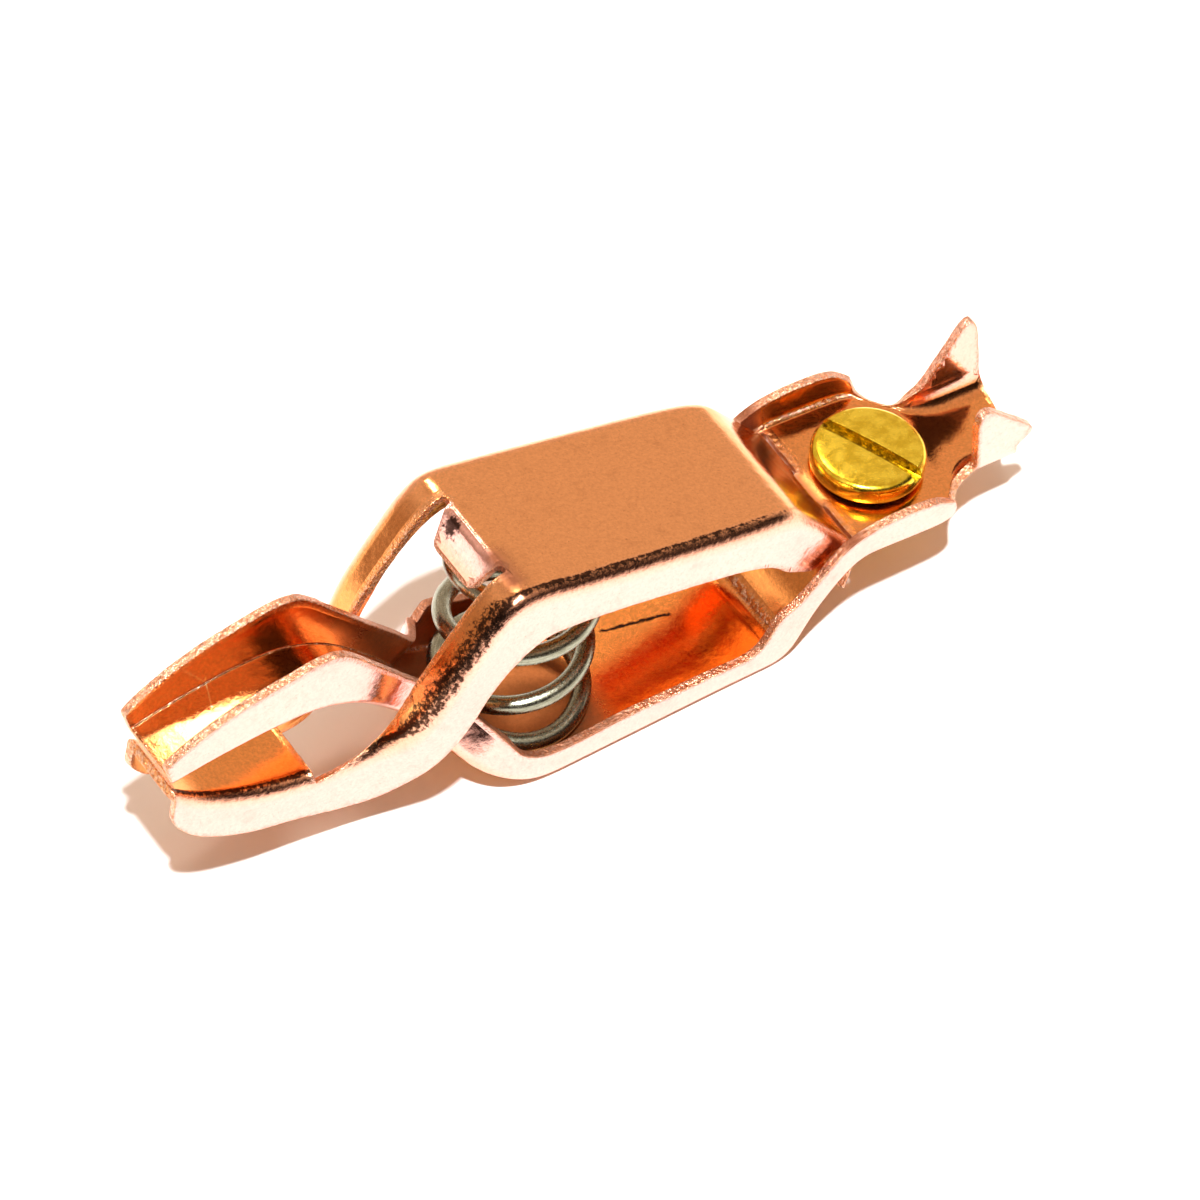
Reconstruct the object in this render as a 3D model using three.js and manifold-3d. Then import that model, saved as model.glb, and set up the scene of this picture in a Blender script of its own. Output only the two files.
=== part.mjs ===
// A small plier-type test clip: two copper-plated stampings that cross through each other,
// a compression spring between their grips, and a brass terminal screw at the tail.
// Millimetres. +Z is up, +X runs to the wire end, -X to the jaws, and +Y is the clip's left side.
// The clip lies on its lower lever, with its origin under the middle of its length and width.

import * as THREE from 'three';
import { mergeVertices } from 'three/addons/utils/BufferGeometryUtils.js';
import Module from 'manifold-3d';

const wasm = await Module();
wasm.setup();

// ---------------------------------------------------------------- driving dimensions

const sheet = 0.6; // thickness of the sheet both stampings are pressed from
const tableZ = -0.2; // Z of the flat that the clip lies on, in the drawing frame used below
const lengthCentre = 0.575; // X of the middle of the clip in the drawing frame used below
const ribsPerSpan = 3; // loft sections between two drawn stations
const bendSteps = 3; // straight steps in a folded corner

const screw = {
  x: 20.65, // centre of the terminal screw
  lean: 0.11, // radians that the terminal deck, and so the screw, falls towards the tail
  seatZ: 5.85, // underside of the head, on the screw's axis
  headRadius: 3.43,
  headHeight: 1.4,
  headRound: 0.35,
  shankRadius: 1.6,
  shankLength: 4.6,
  slotWidth: 0.85,
  slotDepth: 0.8,
  slotTurn: 0.43, // radians that the driver slot is turned from the clip's width
  clearance: 0.3,
};

const spring = {
  wire: 1.0,
  radius: 4.35, // to the middle of the wire
  footX: -4.7, // middle of the coil at its foot
  bow: 2.2, // how far the coil's middle bows towards the hinge at its top
  footZ: 0.8, // middle of the wire at the foot
  footLift: 1.5, // how far the wire's very end rides up the foot of the front wall
  footTurns: 0.25, // turns over which it does so
  pitch: 4.09,
  turns: 3.68,
  closing: 0.6, // turns at the top over which the pitch fades away
  startAngle: 3.7, // radians round from +X
  topTilt: -0.27, // radians that the top turn follows the upper grip
  sides: 8,
  stepsPerTurn: 22,
};

const windowCut = {
  rearX: -6.75, // edge that the spring tab hangs from
  frontX: -20.1,
  halfWidth: 3.45,
  cornerRadius: 0.5,
};

const springTab = {
  root: [-6.55, 17.0], // middle of the fold, as [x, z]
  tip: [-8.05, 14.75],
  rootHalfWidth: 2.6,
  tipHalfWidth: 1.95,
};

const hingeSlot = {
  x: 16.0, // middle of both slots along the clip
  innerY: 1.4,
  outerY: 5.3,
  width: 1.4,
};

const beyondTail = 32; // X past everything on the clip
const aboveEars = 12; // Z past the ears
const earSide = [0.6, 5]; // Y that an ear's trim covers, from near the middle to past its flange
const throughDeck = [4.0, 7.2]; // Z that a slot in the terminal deck is cut through
const throughWindow = [5, 19]; // Z that the window is cut through
const belowTail = 2; // Z past the underside of the tail
const tongueGap = 0.25; // between a tongue's edge and the end of its slot

// Side view of a tongue, as [x, z]: up its rear face, then back down the face towards the jaws.
const tongueOutline = [
  [14.95, 7.6], [15.45, 7.95], [16.25, 6.85], [16.42, 5.9], [16.45, 4.6], [16.3, 3.3], [15.95, 2.2],
  [15.4, 2.4], [15.72, 3.4], [15.88, 4.7], [15.85, 5.8], [15.65, 6.45],
];

// ---------------------------------------------------------------- drawn stations

// A station is one cross-section of a folded channel. `web` is a point on the outer face of the
// channel's bottom, `edge` the free edge of its two side flanges, both as [x, z]. `half` is half
// the outer width, and `bend` the outer radius of the fold.
const lowerLeverStations = [
  { web: [30.6, 3.3], edge: [30.6, 10.2], half: 3.5, bend: 1.9 },
  { web: [27.6, 3.65], edge: [27.6, 10.2], half: 3.5, bend: 1.7 },
  { web: [25.9, 3.95], edge: [25.9, 10.2], half: 3.5, bend: 1.2 },
  { web: [25.2, 4.3], edge: [25.2, 5.1], half: 3.55, bend: 0.25 },
  { web: [24.6, 4.4], edge: [24.6, 5.1], half: 3.65, bend: 0.2 },
  { web: [24.0, 4.5], edge: [24.0, 5.25], half: 4.2, bend: 0.2 },
  { web: [23.45, 4.55], edge: [23.45, 5.5], half: 5.5, bend: 0.4 },
  { web: [23.1, 4.6], edge: [23.1, 6.1], half: 5.9, bend: 0.8 },
  { web: [22.1, 4.75], edge: [22.1, 7.2], half: 6.1, bend: 0.95 },
  { web: [20.5, 4.95], edge: [20.5, 7.65], half: 6.15, bend: 0.95 },
  { web: [18.0, 5.25], edge: [18.0, 7.85], half: 6.15, bend: 0.95 },
  { web: [16.6, 5.35], edge: [16.4, 7.7], half: 6.15, bend: 0.95 },
  { web: [15.6, 4.85], edge: [14.9, 7.05], half: 6.15, bend: 0.95 },
  { web: [14.2, 3.5], edge: [13.4, 5.7], half: 6.2, bend: 0.95 },
  { web: [12.6, 1.9], edge: [11.8, 4.4], half: 6.2, bend: 0.95 },
  { web: [11.4, 0.7], edge: [10.3, 3.8], half: 6.25, bend: 0.95 },
  { web: [10.4, 0.0], edge: [9.5, 2.5], half: 6.25, bend: 0.9 },
  { web: [9.2, -0.2], edge: [8.4, 1.7], half: 6.25, bend: 0.8 },
  { web: [5.0, -0.2], edge: [5.0, 1.8], half: 6.25, bend: 0.8 },
  { web: [0.0, -0.2], edge: [0.0, 2.0], half: 6.25, bend: 0.8 },
  { web: [-4.8, -0.2], edge: [-4.7, 2.1], half: 6.25, bend: 0.8 },
  { web: [-6.6, -0.1], edge: [-6.4, 2.7], half: 6.2, bend: 0.9 },
  { web: [-8.0, 0.6], edge: [-7.5, 3.7], half: 6.1, bend: 0.9 },
  { web: [-9.6, 1.8], edge: [-8.3, 4.8], half: 5.7, bend: 0.9 },
  { web: [-10.9, 3.1], edge: [-8.9, 5.2], half: 4.4, bend: 0.9 },
  { web: [-12.0, 4.9], edge: [-9.8, 6.2], half: 3.1, bend: 0.8 },
  { web: [-13.0, 6.5], edge: [-11.0, 7.9], half: 2.85, bend: 0.7 },
  { web: [-14.4, 8.2], edge: [-13.0, 10.3], half: 2.8, bend: 0.7 },
  { web: [-16.2, 10.0], edge: [-15.3, 13.1], half: 2.8, bend: 0.7 },
  { web: [-18.0, 11.1], edge: [-17.4, 15.5], half: 2.8, bend: 0.7 },
  { web: [-19.8, 11.65], edge: [-18.8, 15.9], half: 2.8, bend: 0.7 },
  { web: [-22.0, 11.8], edge: [-21.8, 15.6], half: 2.8, bend: 0.7 },
  { web: [-25.0, 11.65], edge: [-25.2, 14.95], half: 2.75, bend: 0.7 },
  { web: [-27.6, 11.35], edge: [-28.0, 13.85], half: 2.7, bend: 0.7 },
  { web: [-29.0, 11.1], edge: [-29.45, 13.0], half: 2.65, bend: 0.7 },
];

const upperLeverStations = [
  { web: [15.75, 7.05], edge: [15.1, 7.25], half: 5.2, bend: 0.5 },
  { web: [15.0, 8.1], edge: [14.45, 6.1], half: 5.25, bend: 0.9 },
  { web: [13.8, 9.75], edge: [13.5, 5.8], half: 5.25, bend: 1.0 },
  { web: [12.95, 10.9], edge: [12.5, 6.3], half: 5.3, bend: 1.1 },
  { web: [12.2, 11.7], edge: [11.4, 7.2], half: 5.5, bend: 1.1 },
  { web: [11.0, 12.25], edge: [10.5, 8.35], half: 5.65, bend: 1.1 },
  { web: [8.6, 12.95], edge: [8.7, 9.45], half: 5.8, bend: 1.1 },
  { web: [3.0, 14.49], edge: [3.0, 11.25], half: 5.95, bend: 1.1 },
  { web: [-3.0, 16.14], edge: [-3.0, 12.75], half: 6.05, bend: 1.1 },
  { web: [-6.0, 16.965], edge: [-5.6, 13.0], half: 6.05, bend: 1.1 },
  { web: [-7.3, 17.1], edge: [-7.2, 12.35], half: 6.05, bend: 1.2 },
  { web: [-8.6, 16.3], edge: [-8.4, 11.4], half: 6.0, bend: 1.2 },
  { web: [-10.7, 13.95], edge: [-9.7, 10.0], half: 6.0, bend: 1.2 },
  { web: [-12.8, 11.35], edge: [-11.2, 7.8], half: 5.95, bend: 1.2 },
  { web: [-14.2, 9.3], edge: [-13.0, 5.6], half: 5.6, bend: 1.2 },
  { web: [-15.4, 7.9], edge: [-14.6, 4.0], half: 4.75, bend: 1.1 },
  { web: [-16.6, 7.1], edge: [-16.3, 2.95], half: 3.95, bend: 1.0 },
  { web: [-18.4, 6.7], edge: [-18.4, 3.0], half: 3.6, bend: 1.0 },
  { web: [-21.0, 6.9], edge: [-21.2, 3.75], half: 3.45, bend: 1.0 },
  { web: [-24.0, 7.6], edge: [-24.6, 4.5], half: 3.25, bend: 0.95 },
  { web: [-26.8, 8.8], edge: [-27.7, 6.0], half: 3.0, bend: 0.9 },
  { web: [-28.3, 9.8], edge: [-29.0, 7.5], half: 2.85, bend: 0.8 },
  { web: [-28.9, 10.35], edge: [-29.3, 8.2], half: 2.75, bend: 0.8 },
];

// Side views of the two wire ears, as [x, z]: everything above these lines is trimmed away.
// One ear is highest at the tail end and the other at its front, so they close past each other.
const leftEarTop = [[24.4, 5.2], [25.8, 5.2], [29.4, 9.6], [30.0, 9.95], [30.35, 9.2], [30.6, 5.0]];
const rightEarTop = [
  [24.4, 5.2], [26.3, 5.2], [26.3, 9.25], [26.7, 9.8], [27.1, 9.65], [30.3, 6.3], [28.95, 5.45], [28.9, 5.0],
];
// Plan view of the tail's rear edge, as [x, y]; it runs a little askew between the ears.
const tailRearEdge = [[30.7, 3.6], [30.4, 1.2], [29.8, -1.2], [29.1, -3.6]];

// ---------------------------------------------------------------- solids and booleans

function toManifold(geometry) {
  const bare = geometry.clone();
  bare.deleteAttribute('normal');
  bare.deleteAttribute('uv');
  const merged = mergeVertices(bare, 1e-5);
  return new wasm.Manifold(new wasm.Mesh({
    numProp: 3,
    vertProperties: new Float32Array(merged.attributes.position.array),
    triVerts: new Uint32Array(merged.index.array),
  }));
}

function toGeometry(solid) {
  const mesh = solid.getMesh();
  const geometry = new THREE.BufferGeometry();
  geometry.setAttribute('position', new THREE.BufferAttribute(mesh.vertProperties, 3));
  geometry.setIndex(new THREE.BufferAttribute(mesh.triVerts, 1));
  geometry.computeVertexNormals();
  return geometry;
}

function box(x0, x1, y0, y1, z0, z1) {
  const geometry = new THREE.BoxGeometry(x1 - x0, y1 - y0, z1 - z0);
  geometry.translate((x0 + x1) / 2, (y0 + y1) / 2, (z0 + z1) / 2);
  return geometry;
}

// A side-view outline, [x, z] points, thickened from y0 to y1.
function sidePlate(points, y0, y1) {
  const shape = new THREE.Shape(points.map(([x, z]) => new THREE.Vector2(x, z)));
  const geometry = new THREE.ExtrudeGeometry(shape, { depth: y1 - y0, bevelEnabled: false });
  geometry.rotateX(Math.PI / 2);
  geometry.translate(0, y1, 0);
  return geometry;
}

// A plan-view rectangle with rounded corners, thickened from z0 to z1.
function roundedBlock(x0, x1, halfWidth, radius, z0, z1) {
  const shape = new THREE.Shape();
  shape.moveTo(x0 + radius, -halfWidth);
  shape.lineTo(x1 - radius, -halfWidth);
  shape.absarc(x1 - radius, -halfWidth + radius, radius, -Math.PI / 2, 0);
  shape.absarc(x1 - radius, halfWidth - radius, radius, 0, Math.PI / 2);
  shape.absarc(x0 + radius, halfWidth - radius, radius, Math.PI / 2, Math.PI);
  shape.absarc(x0 + radius, -halfWidth + radius, radius, Math.PI, 1.5 * Math.PI);
  const geometry = new THREE.ExtrudeGeometry(shape, { depth: z1 - z0, bevelEnabled: false, curveSegments: 4 });
  geometry.translate(0, 0, z0);
  return geometry;
}

// ---------------------------------------------------------------- folded channels

// Smooth curves through the stations: one for the web, one for the flange edge, one for the widths.
function stationCurves(stations) {
  const through = (pick) => new THREE.CatmullRomCurve3(
    stations.map((station) => new THREE.Vector3(...pick(station))), false, 'centripetal');
  return {
    web: through((station) => [station.web[0], 0, station.web[1]]),
    edge: through((station) => [station.edge[0], 0, station.edge[1]]),
    widths: through((station) => [station.half, station.bend, 0]),
  };
}

// One closed cross-section loop: out along the outer face and back along the inner face.
function channelRib(curves, t) {
  const web = curves.web.getPoint(t);
  web.z = Math.max(web.z, tableZ);
  const edge = curves.edge.getPoint(t);
  const { x: half, y: bend } = curves.widths.getPoint(t);
  const depth = edge.distanceTo(web);
  const up = edge.clone().sub(web).divideScalar(depth);
  const tangent = curves.web.getTangent(t);
  const slant = Math.max(0.5, Math.abs(tangent.x * up.z - tangent.z * up.x));
  const webThickness = Math.min(sheet / slant, depth - 0.05);
  const outerRadius = Math.min(bend, depth - 0.02);
  const innerRadius = Math.max(outerRadius - sheet, 0.03);
  const innerRise = Math.min(webThickness + innerRadius, depth - 0.01);
  const place = (y, height) => web.clone().addScaledVector(up, height).setY(y);

  const outer = [];
  const inner = [];
  for (const side of [-1, 1]) {
    const outerHalf = [[side * half, depth]];
    const innerHalf = [[side * (half - sheet), depth]];
    for (let i = 0; i <= bendSteps; i += 1) {
      const angle = (i / bendSteps) * Math.PI / 2;
      outerHalf.push([
        side * (half - outerRadius + outerRadius * Math.cos(angle)),
        outerRadius - outerRadius * Math.sin(angle),
      ]);
      innerHalf.push([
        side * (half - sheet - innerRadius + innerRadius * Math.cos(angle)),
        innerRise - (innerRise - webThickness) * Math.sin(angle),
      ]);
    }
    outer.push(...(side < 0 ? outerHalf : outerHalf.reverse()));
    inner.push(...(side < 0 ? innerHalf : innerHalf.reverse()));
  }
  return [...outer, ...inner.reverse()].map(([y, height]) => place(y, height));
}

function channelSolid(stations) {
  const curves = stationCurves(stations);
  const ribCount = (stations.length - 1) * ribsPerSpan + 1;
  const ribs = [];
  for (let i = 0; i < ribCount; i += 1) {
    ribs.push(channelRib(curves, i / (ribCount - 1)));
  }
  const size = ribs[0].length;
  const index = [];
  for (let r = 0; r < ribCount - 1; r += 1) {
    for (let i = 0; i < size; i += 1) {
      const a = r * size + i;
      const b = r * size + ((i + 1) % size);
      index.push(a, b, b + size, a, b + size, a + size);
    }
  }
  for (let i = 0; i < size / 2 - 1; i += 1) {
    const across = size - 1 - i;
    const last = (ribCount - 1) * size;
    index.push(i, across, across - 1, i, across - 1, i + 1);
    index.push(last + i, last + across - 1, last + across, last + i, last + i + 1, last + across - 1);
  }
  const geometry = new THREE.BufferGeometry();
  const positions = ribs.flat().flatMap((point) => [point.x, point.y, point.z]);
  geometry.setAttribute('position', new THREE.Float32BufferAttribute(positions, 3));
  geometry.setIndex(index);
  return orientedOutwards(geometry);
}

function orientedOutwards(geometry) {
  const position = geometry.attributes.position;
  const [a, b, c] = [new THREE.Vector3(), new THREE.Vector3(), new THREE.Vector3()];
  let volume = 0;
  const index = geometry.index.array;
  for (let i = 0; i < index.length; i += 3) {
    a.fromBufferAttribute(position, index[i]);
    b.fromBufferAttribute(position, index[i + 1]);
    c.fromBufferAttribute(position, index[i + 2]);
    volume += a.dot(b.cross(c));
  }
  if (volume < 0) {
    for (let i = 0; i < index.length; i += 3) {
      [index[i + 1], index[i + 2]] = [index[i + 2], index[i + 1]];
    }
  }
  return geometry;
}

// ---------------------------------------------------------------- lower lever

// Room above a side-view line, so that subtracting it trims a flange down to that line.
function spaceAbove(line, y0, y1) {
  const [, endZ] = line[line.length - 1];
  return sidePlate([...line, [beyondTail, endZ], [beyondTail, aboveEars], [line[0][0], aboveEars]], y0, y1);
}

// Room behind the tail's rear edge, below the ears.
function spaceBehindTail() {
  const outline = [...tailRearEdge, [beyondTail, -4], [beyondTail, 4]];
  const shape = new THREE.Shape(outline.map(([x, y]) => new THREE.Vector2(x, y)));
  const [, earFootZ] = rightEarTop[rightEarTop.length - 1];
  const geometry = new THREE.ExtrudeGeometry(shape, { depth: earFootZ - belowTail, bevelEnabled: false });
  geometry.translate(0, 0, belowTail);
  return geometry;
}

function hingeSlotCut(side) {
  const y0 = side > 0 ? hingeSlot.innerY : -hingeSlot.outerY;
  const y1 = side > 0 ? hingeSlot.outerY : -hingeSlot.innerY;
  return box(hingeSlot.x - hingeSlot.width / 2, hingeSlot.x + hingeSlot.width / 2, y0, y1, ...throughDeck);
}

// Room for the threaded shank, a little larger than the shank itself.
function screwHole() {
  const geometry = new THREE.CylinderGeometry(
    screw.shankRadius + screw.clearance, screw.shankRadius + screw.clearance, 6, 24);
  geometry.rotateX(Math.PI / 2);
  return placedOnScrewAxis(geometry);
}

function placedOnScrewAxis(geometry) {
  geometry.rotateY(screw.lean);
  geometry.translate(screw.x, 0, screw.seatZ);
  return geometry;
}

function lowerLever() {
  let solid = toManifold(channelSolid(lowerLeverStations));
  const [innerY, outerY] = earSide;
  solid = solid.subtract(toManifold(spaceAbove(leftEarTop, innerY, outerY)));
  solid = solid.subtract(toManifold(spaceAbove(rightEarTop, -outerY, -innerY)));
  solid = solid.subtract(toManifold(spaceBehindTail()));
  for (const side of [-1, 1]) {
    solid = solid.subtract(toManifold(hingeSlotCut(side)));
  }
  solid = solid.subtract(toManifold(screwHole()));
  return toGeometry(solid);
}

// ---------------------------------------------------------------- upper lever

// A tongue leaves the band's lower edge, drops through its slot and turns under the deck.
function tongue(side) {
  const y0 = hingeSlot.innerY + tongueGap;
  const y1 = hingeSlot.outerY - tongueGap;
  return side > 0 ? sidePlate(tongueOutline, y0, y1) : sidePlate(tongueOutline, -y1, -y0);
}

// The tab hangs from the rear edge of the window and keeps the spring's top turn in place.
function springTabSolid() {
  const { root, tip, rootHalfWidth, tipHalfWidth } = springTab;
  const [dropX, dropZ] = [tip[0] - root[0], tip[1] - root[1]];
  const length = Math.hypot(dropX, dropZ);
  const shape = new THREE.Shape([
    new THREE.Vector2(-rootHalfWidth, 0),
    new THREE.Vector2(-tipHalfWidth, -length),
    new THREE.Vector2(tipHalfWidth, -length),
    new THREE.Vector2(rootHalfWidth, 0),
  ]);
  const geometry = new THREE.ExtrudeGeometry(shape, { depth: sheet, bevelEnabled: false });
  geometry.translate(0, 0, -sheet / 2);
  geometry.rotateX(Math.PI / 2);
  geometry.rotateZ(Math.PI / 2);
  geometry.rotateY(Math.atan2(dropX, dropZ) + Math.PI);
  geometry.translate(root[0], 0, root[1]);
  return geometry;
}

function upperLever() {
  let solid = toManifold(channelSolid(upperLeverStations));
  const { frontX, rearX, halfWidth, cornerRadius } = windowCut;
  solid = solid.subtract(toManifold(roundedBlock(frontX, rearX, halfWidth, cornerRadius, ...throughWindow)));
  solid = solid.add(toManifold(springTabSolid()));
  for (const side of [-1, 1]) {
    solid = solid.add(toManifold(tongue(side)));
  }
  return toGeometry(solid);
}

// ---------------------------------------------------------------- spring

// Height of the wire after so many turns; the pitch fades away where the coil meets the grip.
function springRise(turn) {
  const { pitch, closing, turns, footLift, footTurns } = spring;
  const lift = footLift * Math.max(0, 1 - turn / footTurns) ** 2;
  if (turn < turns - closing) return lift + pitch * turn;
  const left = turns - turn;
  return pitch * (turns - closing / 2) - pitch * left * left / (2 * closing);
}

// A coil of round wire that stands on the lower lever and bows towards the hinge as it rises,
// its turns tilting to follow the upper grip.
class SpringPath extends THREE.Curve {
  getPoint(t, target = new THREE.Vector3()) {
    const angle = spring.startAngle + t * spring.turns * 2 * Math.PI;
    const forward = spring.radius * Math.cos(angle);
    const tilt = Math.tan(spring.topTilt * t);
    return target.set(
      spring.footX + spring.bow * t * t + forward,
      spring.radius * Math.sin(angle),
      spring.footZ + springRise(t * spring.turns) + forward * tilt,
    );
  }
}

function springSolid() {
  const section = new THREE.Shape();
  section.absarc(0, 0, spring.wire / 2, 0, 2 * Math.PI);
  return new THREE.ExtrudeGeometry(section, {
    steps: Math.round(spring.turns * spring.stepsPerTurn),
    curveSegments: spring.sides / 2,
    extrudePath: new SpringPath(),
    bevelEnabled: false,
  });
}

// ---------------------------------------------------------------- terminal screw

function screwSolid() {
  const { headRadius, headHeight, headRound, shankRadius, shankLength } = screw;
  const profile = new THREE.Path();
  profile.moveTo(0, -shankLength);
  profile.lineTo(shankRadius - 0.4, -shankLength);
  profile.lineTo(shankRadius, -shankLength + 0.4);
  profile.lineTo(shankRadius, 0);
  profile.lineTo(headRadius, 0);
  profile.lineTo(headRadius, headHeight - headRound);
  profile.quadraticCurveTo(headRadius, headHeight, headRadius - headRound, headHeight);
  profile.lineTo(0, headHeight);
  const body = new THREE.LatheGeometry(profile.getPoints(3), 40);
  body.rotateX(Math.PI / 2);
  const slot = box(
    -screw.slotWidth / 2, screw.slotWidth / 2, -headRadius - 1, headRadius + 1,
    headHeight - screw.slotDepth, headHeight + 1);
  slot.rotateZ(screw.slotTurn);
  const solid = toManifold(body).subtract(toManifold(slot));
  return placedOnScrewAxis(toGeometry(solid));
}

// ---------------------------------------------------------------- assembly

function part(name, geometry, color, roughness, metalness) {
  const mesh = new THREE.Mesh(geometry, new THREE.MeshStandardMaterial({ color, roughness, metalness }));
  mesh.name = name;
  return mesh;
}

const clip = new THREE.Group();
clip.add(part('lower_lever', lowerLever(), 0xd98a5c, 0.28, 1.0));
clip.add(part('upper_lever', upperLever(), 0xd98a5c, 0.28, 1.0));
clip.add(part('grip_spring', springSolid(), 0x9a9892, 0.3, 1.0));
clip.add(part('terminal_screw', screwSolid(), 0xd8b23a, 0.22, 1.0));
clip.position.set(-lengthCentre, 0, -tableZ);

const group = new THREE.Group();
group.add(clip);
group.updateMatrixWorld(true);

export default group;
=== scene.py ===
"""Looks for a small copper-plated test clip with a brass terminal screw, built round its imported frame."""

import math

import bpy
import numpy as np
from mathutils import Matrix, Vector, noise
from mathutils.geometry import delaunay_2d_cdt


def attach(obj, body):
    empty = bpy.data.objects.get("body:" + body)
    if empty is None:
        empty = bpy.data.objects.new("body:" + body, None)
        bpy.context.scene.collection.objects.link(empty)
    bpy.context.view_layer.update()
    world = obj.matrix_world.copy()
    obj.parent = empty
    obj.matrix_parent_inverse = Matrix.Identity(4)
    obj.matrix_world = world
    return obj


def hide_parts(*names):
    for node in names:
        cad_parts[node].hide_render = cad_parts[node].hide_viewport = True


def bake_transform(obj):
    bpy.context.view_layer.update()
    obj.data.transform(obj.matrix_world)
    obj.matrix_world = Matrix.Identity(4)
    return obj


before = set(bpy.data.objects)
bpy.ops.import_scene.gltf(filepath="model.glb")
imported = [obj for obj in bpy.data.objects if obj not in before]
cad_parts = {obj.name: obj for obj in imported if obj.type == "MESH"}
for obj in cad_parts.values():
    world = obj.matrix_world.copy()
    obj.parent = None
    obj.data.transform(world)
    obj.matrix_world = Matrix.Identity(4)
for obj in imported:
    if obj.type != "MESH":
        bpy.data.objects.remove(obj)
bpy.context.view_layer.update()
noise.seed_set(7)  # noise_vector would follow the clock without it

# ---------- sizes, in millimetres

MM = 0.001
FRAME_SHIFT = np.array([-0.575, 0.0, 0.2])  # from the drawing frame of the stations to the shared frame
SHEET = 0.6
RIM_RADIUS = 0.1  # rounding of the sheared edges
RIM_WAVER = 0.022  # how uneven they are
RIM_TURNS = (30, 60, 90)  # degrees of each point of half a rim, from a face to the middle
RING = 2 * len(RIM_TURNS)
ROW_GAP = 0.3  # between two cross-sections of a stamping
WEB_COLUMNS = 10  # on each side of the middle
BEND_COLUMNS = 7
FLANGE_COLUMNS = 7
COLUMNS = WEB_COLUMNS + BEND_COLUMNS + FLANGE_COLUMNS
SPARE_COLUMNS = 11  # beyond a flange's usual edge, for a lug that stands higher
EDGE_CLEARANCE = 0.45  # cells kept free between a cut edge and the grid
SPLINE_STEPS = 6000
SOFTENING = (1.5, 1.2, 2.0)  # in rows, of the web line, the flange edge and the widths

# A station is one cross-section of a folded channel: a point on the outer face of its bottom (x, z),
# the free edge of its flanges (x, z), half its outer width, and the outer radius of its folds.
LOWER_STATIONS = [
    (30.8, 3.3, 30.8, 10.2, 3.5, 1.9),
    (28.8, 3.5, 28.8, 10.2, 3.5, 1.9),
    (27.0, 3.72, 27.0, 10.2, 3.5, 1.9),
    (25.9, 3.95, 25.9, 9.2, 3.6, 1.8),
    (25.1, 4.2, 25.1, 7.8, 4.0, 1.7),
    (24.4, 4.4, 24.4, 6.8, 4.7, 1.5),
    (23.7, 4.54, 23.7, 6.2, 5.5, 1.2),
    (23.1, 4.63, 23.1, 6.3, 6.0, 0.95),
    (22.1, 4.75, 22.1, 7.2, 6.1, 0.95),
    (20.5, 4.95, 20.5, 7.65, 6.15, 0.95),
    (18.0, 5.25, 18.0, 7.85, 6.15, 0.95),
    (16.6, 5.35, 16.4, 7.7, 6.15, 0.95),
    (15.6, 4.85, 14.9, 7.05, 6.15, 0.95),
    (14.3, 3.75, 13.4, 5.7, 6.2, 0.95),
    (13.1, 2.35, 11.8, 4.4, 6.2, 0.95),
    (12.1, 0.95, 10.5, 3.8, 6.25, 0.95),
    (11.4, 0.1, 9.7, 2.5, 6.25, 0.9),
    (10.4, -0.2, 8.8, 1.75, 6.25, 0.8),
    (5.0, -0.2, 5.0, 1.8, 6.25, 0.8),
    (0.0, -0.2, 0.0, 2.0, 6.25, 0.8),
    (-4.8, -0.2, -4.7, 1.95, 6.25, 0.8),
    (-6.6, -0.1, -6.4, 2.25, 6.2, 0.9),
    (-8.0, 0.6, -7.5, 3.0, 6.1, 0.9),
    (-9.6, 1.8, -8.3, 4.3, 5.7, 0.9),
    (-10.9, 3.1, -8.9, 5.0, 4.4, 0.9),
    (-12.0, 4.9, -9.8, 6.2, 3.1, 0.8),
    (-13.0, 6.5, -11.0, 7.9, 2.85, 0.7),
    (-14.4, 8.2, -13.0, 10.3, 2.8, 0.7),
    (-16.2, 10.0, -15.3, 13.1, 2.8, 0.7),
    (-18.0, 11.1, -17.4, 15.5, 2.8, 0.7),
    (-19.8, 11.65, -18.8, 15.9, 2.8, 0.7),
    (-22.0, 11.8, -21.8, 15.6, 2.8, 0.7),
    (-25.0, 11.65, -25.2, 14.95, 2.75, 0.7),
    (-27.6, 11.35, -28.0, 13.85, 2.7, 0.7),
    (-29.0, 11.1, -29.45, 13.0, 2.65, 0.7),
]
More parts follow.
